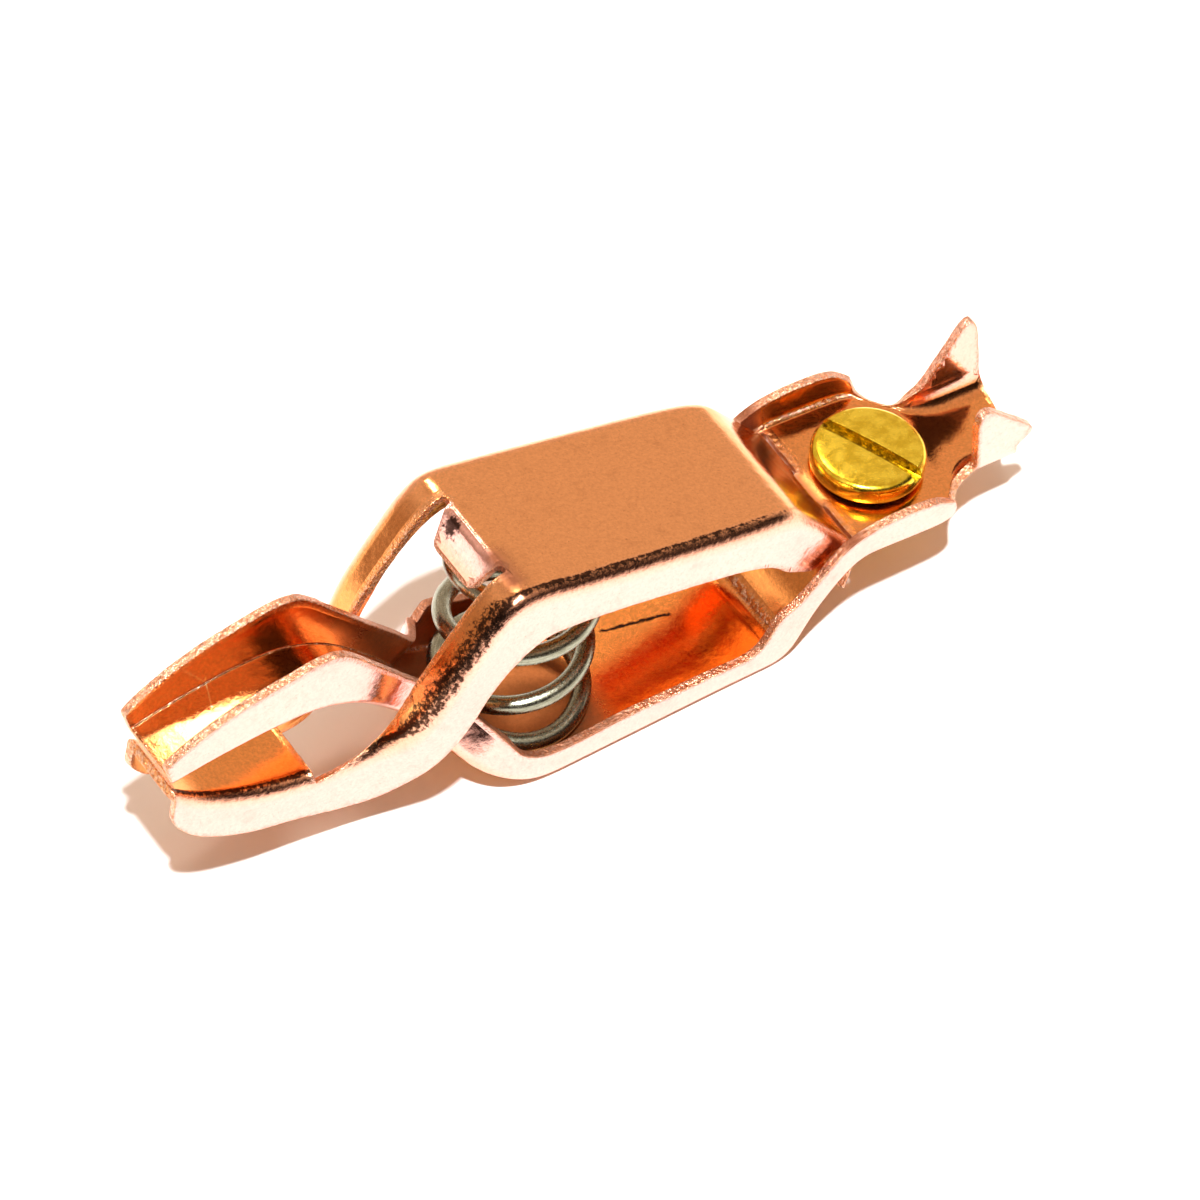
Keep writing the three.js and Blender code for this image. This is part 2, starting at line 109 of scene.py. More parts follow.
UPPER_STATIONS = [
    (16.1, 2.2, 15.45, 2.4, 5.1, 0.6),
    (16.5, 3.3, 15.85, 3.4, 5.1, 0.6),
    (16.7, 4.6, 16.05, 4.6, 5.1, 0.6),
    (16.6, 5.5, 15.95, 5.4, 5.15, 0.6),
    (16.25, 6.4, 15.6, 6.1, 5.2, 0.7),
    (15.75, 7.05, 14.9, 6.4, 5.2, 0.8),
    (15.0, 8.1, 14.2, 6.1, 5.25, 0.9),
    (13.8, 9.75, 13.4, 5.8, 5.25, 1.0),
    (12.95, 10.9, 12.5, 6.3, 5.3, 1.1),
    (12.2, 11.7, 11.4, 7.2, 5.5, 1.1),
    (11.0, 12.25, 10.5, 8.35, 5.65, 1.1),
    (8.6, 12.95, 8.7, 9.45, 5.8, 1.1),
    (3.0, 14.49, 3.0, 11.25, 5.95, 1.1),
    (-3.0, 16.14, -3.0, 12.75, 6.05, 1.1),
    (-6.0, 16.965, -5.6, 13.0, 6.05, 1.1),
    (-7.3, 17.1, -7.2, 12.35, 6.05, 1.2),
    (-8.6, 16.3, -8.4, 11.4, 6.0, 1.2),
    (-10.7, 13.95, -9.7, 10.0, 6.0, 1.2),
    (-12.8, 11.35, -11.2, 7.8, 5.95, 1.2),
    (-14.2, 9.3, -13.0, 5.6, 5.6, 1.2),
    (-15.4, 7.9, -14.6, 4.0, 4.75, 1.1),
    (-16.6, 7.1, -16.3, 2.95, 3.95, 1.0),
    (-18.4, 6.7, -18.4, 3.0, 3.6, 1.0),
    (-21.0, 6.9, -21.2, 3.75, 3.45, 1.0),
    (-24.0, 7.6, -24.6, 4.5, 3.25, 0.95),
    (-26.8, 8.8, -27.7, 6.0, 3.0, 0.9),
    (-28.3, 9.8, -29.0, 7.5, 2.85, 0.8),
    (-28.9, 10.35, -29.3, 8.2, 2.75, 0.8),
]

# The tail's cut edge, from the near flange of the deck round both ears to the far flange.
TAIL_EDGE = [
    (23.25, -6.1, 6.0), (23.5, -5.6, 4.9), (24.0, -4.4, 4.6), (24.6, -3.75, 4.6), (25.4, -3.6, 4.7),
    (26.15, -3.45, 5.2), (26.3, -3.5, 5.6), (26.3, -3.5, 9.2), (26.7, -3.5, 9.8), (27.1, -3.5, 9.65),
    (30.3, -3.5, 6.3), (29.0, -3.45, 5.4), (29.2, -3.2, 4.4), (29.8, -1.2, 3.4), (30.4, 1.2, 3.4),
    (30.6, 3.1, 4.3), (30.55, 3.5, 6.5), (30.35, 3.5, 9.2), (30.0, 3.5, 9.95), (29.4, 3.5, 9.6),
    (25.85, 3.5, 5.25), (25.2, 3.6, 4.7), (24.6, 3.75, 4.6), (24.0, 4.4, 4.6), (23.5, 5.6, 4.9),
    (23.25, 6.1, 6.0),
]

SLOT_X, SLOT_WIDTH, SLOT_INNER, SLOT_OUTER = 16.05, 1.5, 1.4, 5.3
TONGUE_INNER, TONGUE_OUTER = 1.65, 5.05
BAND_END = (15.85, 6.9)  # where the band stops between the tongues, as (x, z)
WINDOW_REAR, WINDOW_FRONT, WINDOW_HALF = -6.75, -20.1, 3.45
TAB_ROOT_HALF, TAB_TIP_HALF, TAB_LENGTH, TAB_FOLD = 2.75, 1.95, 2.85, 0.8
TAB_NICK = 0.12  # between the tab's root and the window's corner
TAB_HEADING = math.radians(-123.7)  # in the side view, from +X towards +Z
TAB_STEP = 0.02

# The lug on the lower lever's far flange, as (x, columns beyond the flange's usual edge).
LUG = [(-1.2, 0), (-2.8, 4.0), (-4.6, 6.8), (-6.2, 9.6), (-7.1, 8.4), (-7.6, 4.0), (-7.9, 0)]

# Where the looks of the levers change, along X.
EAR_ROOT_X, RAMP_TOP_X, GRIP_FOLD_X, COIL_EDGE_X, UPPER_JAW_X, TROUGH_X = 26.5, 16.2, 11.6, 0.6, -14.0, -18.0
PLATE_END_X, KNEE_X, NECK_FOOT_X = -6.9, -7.6, -16.0

WIRE_RADIUS, COIL_RADIUS, COIL_FOOT, COIL_BOW = 0.59, 4.35, -4.7, 2.2
COIL_FOOT_Z, COIL_LIFT, COIL_LIFT_TURNS = 0.233, 2.3, 0.25
COIL_PITCH, COIL_TURNS, COIL_CLOSING, COIL_START, COIL_TILT = 4.09, 3.696, 0.36, 3.6, -0.27
COIL_STEPS, WIRE_SIDES = 520, 20
WIRE_END = (0.62, 0.86, 0.96)  # shares of the wire's radius that round off its ends

SCREW_X, SCREW_SEAT, SCREW_LEAN, SCREW_TURN = 20.65, 5.85, 0.11, 0.43
HEAD_RADIUS, HEAD_HEIGHT, HEAD_CROWN = 3.52, 1.4, 0.17
SHANK_RADIUS, SHANK_LENGTH, SHANK_TIP, SCREW_HOLE_GAP = 1.6, 4.6, 0.3, 0.28
THREAD_PITCH, THREAD_DEPTH = 0.8, 0.16
GROOVE_WIDTH, GROOVE_DEPTH, GROOVE_BEVEL = 0.85, 0.8, 0.06
SCREW_SIDES = 96

# Two scratches, each as its start, its end and its width.
GRIP_GOUGE = ((1.84, 1.26, 0.6), (6.36, 0.12, 0.6), 0.17)
JAW_SCRATCH = ((-24.49, 2.39, 12.5), (-25.22, 0.39, 12.5), 0.06)


# ---------- curves

def spline(points, where):
    """Centripetal Catmull-Rom curve through points; where runs from 0 to 1, shared evenly by its spans."""
    points = np.asarray(points, float)
    padded = np.vstack([2 * points[0] - points[1], points, 2 * points[-1] - points[-2]])
    knots = np.sqrt(np.linalg.norm(np.diff(padded, axis=0), axis=1)) + 1e-9
    last = len(points) - 2
    span = np.clip(np.floor(where * (last + 1)).astype(int), 0, last)
    w = (where * (last + 1) - span)[:, None]
    p0, p1, p2, p3 = (padded[span + k] for k in range(4))
    d0, d1, d2 = (knots[span + k][:, None] for k in range(3))
    start = ((p1 - p0) / d0 - (p2 - p0) / (d0 + d1) + (p2 - p1) / d1) * d1
    end = ((p2 - p1) / d1 - (p3 - p1) / (d1 + d2) + (p3 - p2) / d2) * d1
    return (
        p1 * (2 * w**3 - 3 * w**2 + 1) + start * (w**3 - 2 * w**2 + w)
        + p2 * (3 * w**2 - 2 * w**3) + end * (w**3 - w**2)
    )


def softened(values, reach):
    """A table smoothed down its columns over reach rows, so that reflections run evenly."""
    size = int(math.ceil(3 * reach))
    taps = np.exp(-0.5 * (np.arange(-size, size + 1) / reach) ** 2)
    taps /= taps.sum()
    first = 2 * values[0] - values[1 : size + 1][::-1]
    final = 2 * values[-1] - values[-size - 1 : -1][::-1]
    padded = np.vstack([first, values, final])
    return np.stack([np.convolve(column, taps, mode="valid") for column in padded.T], axis=1)


def normalised(vectors):
    return vectors / (np.linalg.norm(vectors, axis=-1, keepdims=True) + 1e-12)


# ---------- folded channels

class Channel:
    """A folded channel as a smooth map from (row, column) to a point on its outer face.

    Rows run along the stamping. Columns run across it, from -COLUMNS at one flange's edge over the
    middle, 0, to +COLUMNS at the other's.
    """

    def __init__(self, stations, floor_z=-1e9):
        stations = np.array(stations)
        fine = np.linspace(0, 1, SPLINE_STEPS)
        web = spline(stations[:, 0:2], fine)
        length = np.concatenate([[0], np.cumsum(np.linalg.norm(np.diff(web, axis=0), axis=1))])
        self.rows = int(length[-1] / ROW_GAP)
        where = np.interp(np.linspace(0, length[-1], self.rows + 1), length, fine)
        self.web, self.edge, self.widths = (
            softened(spline(stations[:, first : first + 2], where), reach)
            for first, reach in zip((0, 2, 4), SOFTENING))
        self.web[:, 1] = np.maximum(self.web[:, 1], floor_z)
        self.tab_row = None
        self.sign = 1.0
        middle = self.rows // 2
        normal = self.normals(np.array([middle]), np.array([0.0]))[0]
        inward = self.edge[middle] - self.web[middle]
        self.sign = -1.0 if normal[0] * inward[0] + normal[2] * inward[1] > 0 else 1.0

    def at(self, table, row):
        """A row table's columns, at one fractional row or at many."""
        index = np.arange(self.rows + 1)
        return np.stack([np.interp(row, index, column) for column in table.T], axis=-1)

    def add_tab(self, row):
        """From this row on, points of the tab follow a profile that folds down from the web."""
        self.tab_row = row
        here, before = self.at(self.web, row), self.at(self.web, row - 1)
        level = math.atan2(*(here - before)[::-1])
        steps = np.arange(0, 2 * TAB_LENGTH, TAB_STEP)
        turn = (TAB_HEADING - level + math.pi) % (2 * math.pi) - math.pi
        heading = level + turn * np.clip(steps / TAB_FOLD, 0, 1)
        path = here + np.cumsum(np.stack([np.cos(heading), np.sin(heading)], 1) * TAB_STEP, axis=0)
        self.tab_path = np.vstack([here, path])
        self.tab_steps = np.concatenate([[0], steps + TAB_STEP])

    def points(self, row, col, on_tab=None):
        """Points on the outer face, in the drawing frame."""
        row = np.clip(row, 0, self.rows)
        col = np.clip(col, -COLUMNS - SPARE_COLUMNS, COLUMNS + SPARE_COLUMNS)
        web, edge, widths = (self.at(table, row) for table in (self.web, self.edge, self.widths))
        depth = np.linalg.norm(edge - web, axis=1)
        up = (edge - web) / depth[:, None]
        half = widths[:, 0]
        bend = np.minimum(widths[:, 1], depth - 0.02)
        across = np.abs(col)
        angle = np.clip((across - WEB_COLUMNS) / BEND_COLUMNS, 0, 1) * math.pi / 2
        in_web = np.clip(across / WEB_COLUMNS, 0, 1)
        in_flange = np.maximum((across - WEB_COLUMNS - BEND_COLUMNS) / FLANGE_COLUMNS, 0)
        y = ((half - bend) * in_web + bend * np.sin(angle)) * np.sign(col)
        height = bend * (1 - np.cos(angle)) + (depth - bend) * in_flange
        if on_tab is not None and self.tab_row is not None:
            past = on_tab & (row > self.tab_row)
            travelled = (row - self.tab_row) * ROW_GAP
            for k in (0, 1):
                tab = np.interp(travelled, self.tab_steps, self.tab_path[:, k])
                web[:, k] = np.where(past, tab, web[:, k])
            root_half, root_bend = self.at(self.widths, self.tab_row)
            y = np.where(past, (root_half - root_bend) * in_web * np.sign(col), y)
        return np.stack([web[:, 0] + up[:, 0] * height, y, web[:, 1] + up[:, 1] * height], 1)

    def normals(self, row, col, on_tab=None):
        """Unit vectors that point out of the channel."""
        along = self.points(row + 0.5, col, on_tab) - self.points(row - 0.5, col, on_tab)
        across = self.points(row, col + 0.5, on_tab) - self.points(row, col - 0.5, on_tab)
        return normalised(np.cross(along, across)) * self.sign

    def find(self, target, axes=(0, 1, 2), columns=(-COLUMNS, COLUMNS)):
        """The (row, column) whose point is nearest to target, measured along some of its axes."""
        axes = list(axes)
        target = np.asarray(target, float)[axes]
        cols = np.arange(columns[0], columns[1] + 1)
        grid = np.stack(np.meshgrid(np.arange(self.rows + 1), cols, indexing="ij"), -1).reshape(-1, 2)
        gap = self.points(grid[:, 0], grid[:, 1])[:, axes] - target
        spot = grid[np.argmin((gap**2).sum(1))].astype(float)
        for _ in range(12):
            probes = spot + np.array([[0, 0], [0.1, 0], [0, 0.1]])
            values = self.points(probes[:, 0], probes[:, 1])[:, axes]
            slope = (values[1:] - values[0]).T / 0.1
            step = np.linalg.lstsq(slope, target - values[0], rcond=None)[0]
            spot = spot + np.clip(step, -1, 1)
            spot[0] = np.clip(spot[0], 0, self.rows)
            spot[1] = np.clip(spot[1], columns[0], columns[1])
        return tuple(spot)

    def row_at(self, x, column=0):
        """The row whose point in a column lies at x."""
        return self.find((x, 0, 0), axes=(0,), columns=(column, column))[0]


# ---------- sheet meshes

def dense_loop(anchors, rounds=1, ragged=0.1):
    """A closed loop of (row, column) points at most a cell apart, a little rounded and uneven."""
    loop = []
    for a, b in zip(anchors, anchors[1:] + anchors[:1]):
        a, b = np.array(a, float), np.array(b, float)
        steps = max(1, int(math.ceil(np.abs(b - a).max())))
        loop.extend(a + (b - a) * k / steps for k in range(steps))
    loop = np.array(loop)
    for _ in range(rounds):
        loop = 0.5 * loop + 0.25 * (np.roll(loop, 1, axis=0) + np.roll(loop, -1, axis=0))
    shifts = [noise.noise_vector(Vector((row * 0.45, col * 0.45, 3.0))) for row, col in loop]
    return loop + ragged * np.array([(shift.x, shift.y) for shift in shifts])


def inside(loops, points):
    """Which points lie inside an odd number of the loops."""
    odd = np.zeros(len(points), bool)
    x, y = points[:, 0], points[:, 1]
    for loop in loops:
        following = np.roll(loop, -1, axis=0)
        for (ax, ay), (bx, by) in zip(loop, following):
            if ay == by:
                continue
            crosses = (ay > y) != (by > y)
            odd ^= crosses & (x < (bx - ax) * (y - ay) / (by - ay) + ax)
    return odd


def nearest_gap(points, loops):
    """How many cells each point is from the loops."""
    border = np.vstack(loops)
    gaps = [np.sqrt(((chunk[:, None] - border[None]) ** 2).sum(-1)).min(1)
            for chunk in np.array_split(points, max(1, len(points) // 500))]
    return np.concatenate(gaps)


def flat_pattern(channel, loops):
    """Triangles and quads of the stamping's flat pattern, in (row, column)."""
    reach = COLUMNS + SPARE_COLUMNS
    grid = np.meshgrid(np.arange(channel.rows + 1), np.arange(-reach, reach + 1), indexing="ij")
    grid = np.stack(grid, -1).reshape(-1, 2).astype(float)
    grid = grid[inside(loops, grid)]
    grid = grid[nearest_gap(grid, loops) > EDGE_CLEARANCE]
    coords = [Vector(p) for p in grid]
    edges = []
    for loop in loops:
        first = len(coords)
        coords.extend(Vector(p) for p in loop)
        edges.extend((first + i, first + (i + 1) % len(loop)) for i in range(len(loop)))
    verts, _, faces, *_ = delaunay_2d_cdt(coords, edges, [], 0, 1e-6)
    verts = np.array([tuple(v) for v in verts])
    faces = np.array(faces)
    faces = faces[inside(loops, verts[faces].mean(1))]
    return verts, quads_where_whole(verts, faces)


def quads_where_whole(verts, faces):
    """Joins the two triangles of each whole grid cell into a quad."""
    whole = np.abs(verts - np.round(verts)).max(1) < 1e-6
    number = {tuple(p): i for i, p in enumerate(np.round(verts).astype(int)) if whole[i]}
    cells = {}
    result = []
    for face in faces:
        corner = np.round(verts[face]).astype(int)
        low, high = corner.min(0), corner.max(0)
        if whole[face].all() and (high - low == 1).all():
            cells.setdefault(tuple(low), []).append(face)
        else:
            result.append(list(face))
    for (r, c), pair in cells.items():
        if len(pair) == 2:
            result.append([number[(r, c)], number[(r + 1, c)], number[(r + 1, c + 1)], number[(r, c + 1)]])
        else:
            result.extend(list(face) for face in pair)
    return result


def border_edges(faces):
    """The directed edges that only one face has."""
    directed = {(a, b) for face in faces for a, b in zip(face, face[1:] + face[:1])}
    return [(a, b) for a, b in directed if (b, a) not in directed]


def rim_points(outer, inner, normal, outward, radius):
    """The rounded cut edge from the outer face to the inner one: points and their normals."""
    ring, facing = [], []
    for face, sense in ((outer, 1), (inner, -1)):
        for degrees in RIM_TURNS[::sense]:
            up, out = math.cos(math.radians(degrees)), math.sin(math.radians(degrees))
            ring.append(face - sense * normal * radius * (1 - up) + outward * radius * out)
            facing.append(sense * normal * up + outward * out)
    return ring, facing


def rim_directions(border, outer, normal):
    """For each border point, the unit vector that lies in the sheet and points away from it."""
    outward = {}
    for a, b in border:
        side = np.cross(outer[b] - outer[a], normal[a])
        for v in (a, b):
            outward[v] = outward.get(v, 0) + side / (np.linalg.norm(side) + 1e-9)
    for v, side in outward.items():
        side = side - normal[v] * side.dot(normal[v])
        outward[v] = side / (np.linalg.norm(side) + 1e-9)
    return outward


def rim_rings(outward, outer, inner, normal):
    """One ring of points, and their normals, for each border point. The rounding wavers a little."""
    points, facings = [], []
    for v, side in outward.items():
        spot = Vector(outer[v])
        waver = noise.noise(spot * 1.7) + 0.6 * noise.noise(spot * 5.0)
        ring, facing = rim_points(outer[v], inner[v], normal[v], side, RIM_RADIUS + RIM_WAVER * waver)
        points.append(np.array(ring))
        facings.append(normalised(np.array(facing)))
    return points, facings


def sheet_faces(faces, border, outward, count):
    """Both faces of the sheet, and the strips of the rim between them."""
    rim_start = {v: 2 * count + RING * place for place, v in enumerate(outward)}
    result = [list(map(int, face)) for face in faces]
    result += [[int(v) + count for v in face[::-1]] for face in faces]
    for a, b in border:
        ring_a = [a] + [rim_start[a] + k for k in range(RING)] + [a + count]
        ring_b = [b] + [rim_start[b] + k for k in range(RING)] + [b + count]
        for k in range(RING + 1):
            result.append([int(v) for v in (ring_a[k], ring_a[k + 1], ring_b[k + 1], ring_b[k])])
    return result


def nowhere(flat):
    return np.zeros(len(flat))


def everywhere(flat):
    return np.ones(len(flat))


def stamped_sheet(name, channel, loops, on_tab=nowhere, **looks):
    """The stamping's mesh: outer face, inner face and rounded cut edges, in metres in the shared frame.

    on_tab takes flat points and says which lie on a folded-down tab. The looks are write_marks's own.
    """
    flat, faces = flat_pattern(channel, loops)
    tab = on_tab(flat).astype(bool)
    outer = channel.points(flat[:, 0], flat[:, 1], tab)
    normal = channel.normals(flat[:, 0], flat[:, 1], tab)
    inner = outer - normal * SHEET
    if channel.sign < 0:
        faces = [face[::-1] for face in faces]
    border = border_edges(faces)
    outward = rim_directions(border, outer, normal)
    rings, facings = rim_rings(outward, outer, inner, normal)

    places = (np.vstack([outer, inner] + rings) + FRAME_SHIFT) * MM
    mesh = new_mesh(name, places.tolist(), sheet_faces(faces, border, outward, len(outer)))
    mesh.shade_smooth()
    mesh.normals_split_custom_set_from_vertices(np.vstack([normal, -normal] + facings).tolist())
    write_marks(mesh, channel, flat, tab, np.array(list(outward)), **looks)
    return add_piece(name, mesh)


def write_marks(mesh, channel, flat, tab, edge, deep=everywhere, dull_inside=nowhere, cracked=nowhere,
                shaded=nowhere, dull_outside=nowhere, stain=nowhere):
    """The attributes that the copper reads, worked out from functions of the flat points.

    For the inner face, deep says how far it is from open light, which sets how far the painted shade of the
    hollows deepens its copper; the next says how matt it is and how far painted shade darkens it; cracked
    says how ragged the inside of a cross fold is.
    For the outer face, shaded and the next say the like, and the last gives the dark line painted where the
    near fold reflects dark, with a dark spot on the tab.
    How far round a fold each point lies also sets a painted sheen, paler copper on the flanges and over the
    whole tab.
    """
    zero = nowhere(flat)

    def mark(name, outside, inside, at_rim):
        write_attribute(mesh, name, np.concatenate([outside, inside, np.repeat(at_rim[edge], RING)]))

    near_rim = nowhere(flat)
    near_rim[edge] = 0.7
    mark("rim", near_rim, near_rim, everywhere(flat))
    depth = deep(flat)
    # Painted shade: how far the deeper copper of the hollows shows, on each face and on the rim.
    mark("hollow_shade", shaded(flat), depth, 0.4 * depth)
    round_fold = np.clip((np.abs(flat[:, 1]) - WEB_COLUMNS) / BEND_COLUMNS, 0, 1)
    fold_radius = channel.at(channel.widths, flat[:, 0])[:, 1]
    crease = np.sin(math.pi * round_fold) ** 2 * np.clip((1.3 - fold_radius) / 0.4, 0, 1)
    crease = np.maximum(np.where(tab, 0, crease), np.where(round_fold < 0.5, cracked(flat), 0))
    mark("crease", zero, crease, zero)
    # Matt copper, and painted shade that darkens it where a highlight is kept off.
    mark("dull", dull_outside(flat), dull_inside(flat), np.maximum(dull_inside(flat), dull_outside(flat)))
    # How far round a fold each point lies; it also sets the painted sheen, paler copper on the flanges and
    # over the whole tab.
    round_fold = np.where(tab, 1.0, round_fold)
    mark("side", round_fold, round_fold, 0.55 * round_fold)
    # A dark line painted where the near fold reflects dark, and a dark spot on the tab; nothing on the inner
    # face.
    mark("stain", stain(flat), zero, zero)


def write_attribute(mesh, name, values):
    """A number at each point, for the materials to read."""
    made = mesh.attributes.new(name, "FLOAT", "POINT")
    made.data.foreach_set("value", np.asarray(values, np.float32))


def new_mesh(name, points, faces):
    mesh = bpy.data.meshes.new(name)
    mesh.from_pydata(points, [], faces)
    mesh.update()
    return mesh


def add_piece(name, data):
    """A new object in the scene, round a mesh, a light or a camera."""
    piece = bpy.data.objects.new(name, data)
    bpy.context.scene.collection.objects.link(piece)
    return piece


# ---------- lower lever

def plan_loop(channel, points):
    """A loop given in plan view, (x, y), found on the web and its folds."""
    reach = WEB_COLUMNS + BEND_COLUMNS
    return [channel.find((x, y, 0), axes=(0, 1), columns=(-reach, reach)) for x, y in points]


def slot_loop(channel, side):
    x0, x1 = SLOT_X - SLOT_WIDTH / 2, SLOT_X + SLOT_WIDTH / 2
    y0, y1 = side * SLOT_INNER, side * SLOT_OUTER
    return plan_loop(channel, [(x0, y0), (x1, y0), (x1, y1), (x0, y1)])


def screw_hole_loop(channel):
    radius = SHANK_RADIUS + SCREW_HOLE_GAP
    ring = [(SCREW_X + radius * math.cos(a), radius * math.sin(a))
            for a in np.linspace(0, 2 * math.pi, 28, endpoint=False)]
    return plan_loop(channel, ring)


def lower_outline(channel):
    """The tail's cut edge, the far flange with its lug, the jaw's end and the near flange."""
    tail = [channel.find(p) for p in TAIL_EDGE]
    tail[0] = (tail[0][0], -COLUMNS)
    tail[-1] = (tail[-1][0], COLUMNS)
    lug = [(channel.row_at(x, COLUMNS), COLUMNS + rise) for x, rise in LUG]
    return tail + lug + [(channel.rows, COLUMNS), (channel.rows, -COLUMNS)]


def lower_lever():
    channel = Channel(LOWER_STATIONS, floor_z=-FRAME_SHIFT[2])
    loops = [dense_loop(lower_outline(channel))]
    loops += [dense_loop(slot_loop(channel, side)) for side in (1, -1)]
    loops.append(dense_loop(screw_hole_loop(channel), rounds=0))
    ear_row, ramp_row, fold_row, coil_row, jaw_row, trough_row = (
        channel.row_at(x) for x in (EAR_ROOT_X, RAMP_TOP_X, GRIP_FOLD_X, COIL_EDGE_X, UPPER_JAW_X, TROUGH_X))

    def sheltered(flat):
        """How far the inner face is from open light, which sets how deep its painted shade is."""
        row, across = flat[:, 0], np.abs(flat[:, 1])
        deep = np.interp(row, [ramp_row - 3, ramp_row + 3, jaw_row, trough_row], [0.7, 1.0, 1.0, 0.3])
        deep = np.where(across > WEB_COLUMNS + 0.5 * BEND_COLUMNS, np.maximum(deep, 0.9), deep)
        ear = (row < ear_row) & (across > WEB_COLUMNS + 0.7 * BEND_COLUMNS)
        return np.where(ear, 0.15, deep)

    def dull(flat):
        """Matt copper darkened with painted shade: the fold at the top of the ramp, which the upper lever
        keeps from the lamp, and the metal from under the spring to the jaw's neck.
        """
        ramp = near_row(flat, ramp_row, 2.6)
        neck = np.interp(flat[:, 0], [coil_row, coil_row + 6, jaw_row - 2, jaw_row + 8], [0, 0.65, 0.65, 0])
        return np.maximum(ramp, neck)

    def cracked(flat):
        """The tight fold across the grip's floor, next to those along the sheet."""
        return near_row(flat, fold_row, 1.3)

    return stamped_sheet("lower_plate", channel, loops, deep=sheltered, dull_inside=dull, cracked=cracked)


def near_row(flat, row, reach):
    """1 at a row of the flat points, fading over reach rows to each side."""
    return np.exp(-(((flat[:, 0] - row) / reach) ** 2))


# ---------- upper lever

def column_at(channel, row, y):
    """The web or fold column that lies y millimetres from the middle at a row."""
    width, bend = channel.at(channel.widths, row)
    half = width - bend
    if abs(y) <= half:
        return y / half * WEB_COLUMNS
    sweep = math.asin(min(1, (abs(y) - half) / bend)) / (math.pi / 2)
    return math.copysign(WEB_COLUMNS + BEND_COLUMNS * sweep, y)


def upper_outline(channel):
    """The jaw's end, the near flange, the band with its lobes and two tongues, and the far flange."""
    band_row = channel.find((BAND_END[0], 0, BAND_END[1]), axes=(0, 2), columns=(0, 0))[0]
    lobe_row, lobe_column = band_row + 4, WEB_COLUMNS + 0.75 * BEND_COLUMNS
    outline = [(channel.rows, COLUMNS), (channel.rows, -COLUMNS)]
    outline += [(lobe_row, -COLUMNS), (band_row, -lobe_column)]
    for y0, y1 in ((-TONGUE_OUTER, -TONGUE_INNER), (TONGUE_INNER, TONGUE_OUTER)):
        outline += [(band_row, column_at(channel, band_row, y0)), (0, column_at(channel, 0, y0))]
        outline += [(0, column_at(channel, 0, y1)), (band_row, column_at(channel, band_row, y1))]
    return outline + [(band_row, lobe_column), (lobe_row, COLUMNS)]


def window_side(channel, start, end, side):
    """One long side of the window, filled in where the fold's width varies."""
    reach = WEB_COLUMNS + BEND_COLUMNS
    points = []
    for row in np.linspace(start[0], end[0], 24)[1:-1]:
        x = float(channel.points(np.array([row]), np.array([0.0]))[0, 0])
        columns = sorted((0, side * reach))
        points.append(channel.find((x, side * WINDOW_HALF, 0), axes=(0, 1), columns=columns))
    return points


def window_loop(channel, rear_row, tip_row, root, tip):
    """The window that the other lever's neck rises through, with the bent tab left standing in it."""
    nick = TAB_ROOT_HALF + TAB_NICK
    corners = plan_loop(channel, [
        (WINDOW_REAR, nick), (WINDOW_REAR, WINDOW_HALF), (WINDOW_FRONT, WINDOW_HALF),
        (WINDOW_FRONT, -WINDOW_HALF), (WINDOW_REAR, -WINDOW_HALF), (WINDOW_REAR, -nick),
    ])
    loop = corners[:2] + window_side(channel, corners[1], corners[2], 1) + corners[2:4]
    loop += window_side(channel, corners[3], corners[4], -1) + corners[4:]
    return loop + [(rear_row, -root), (tip_row, -tip), (tip_row, tip), (rear_row, root)]


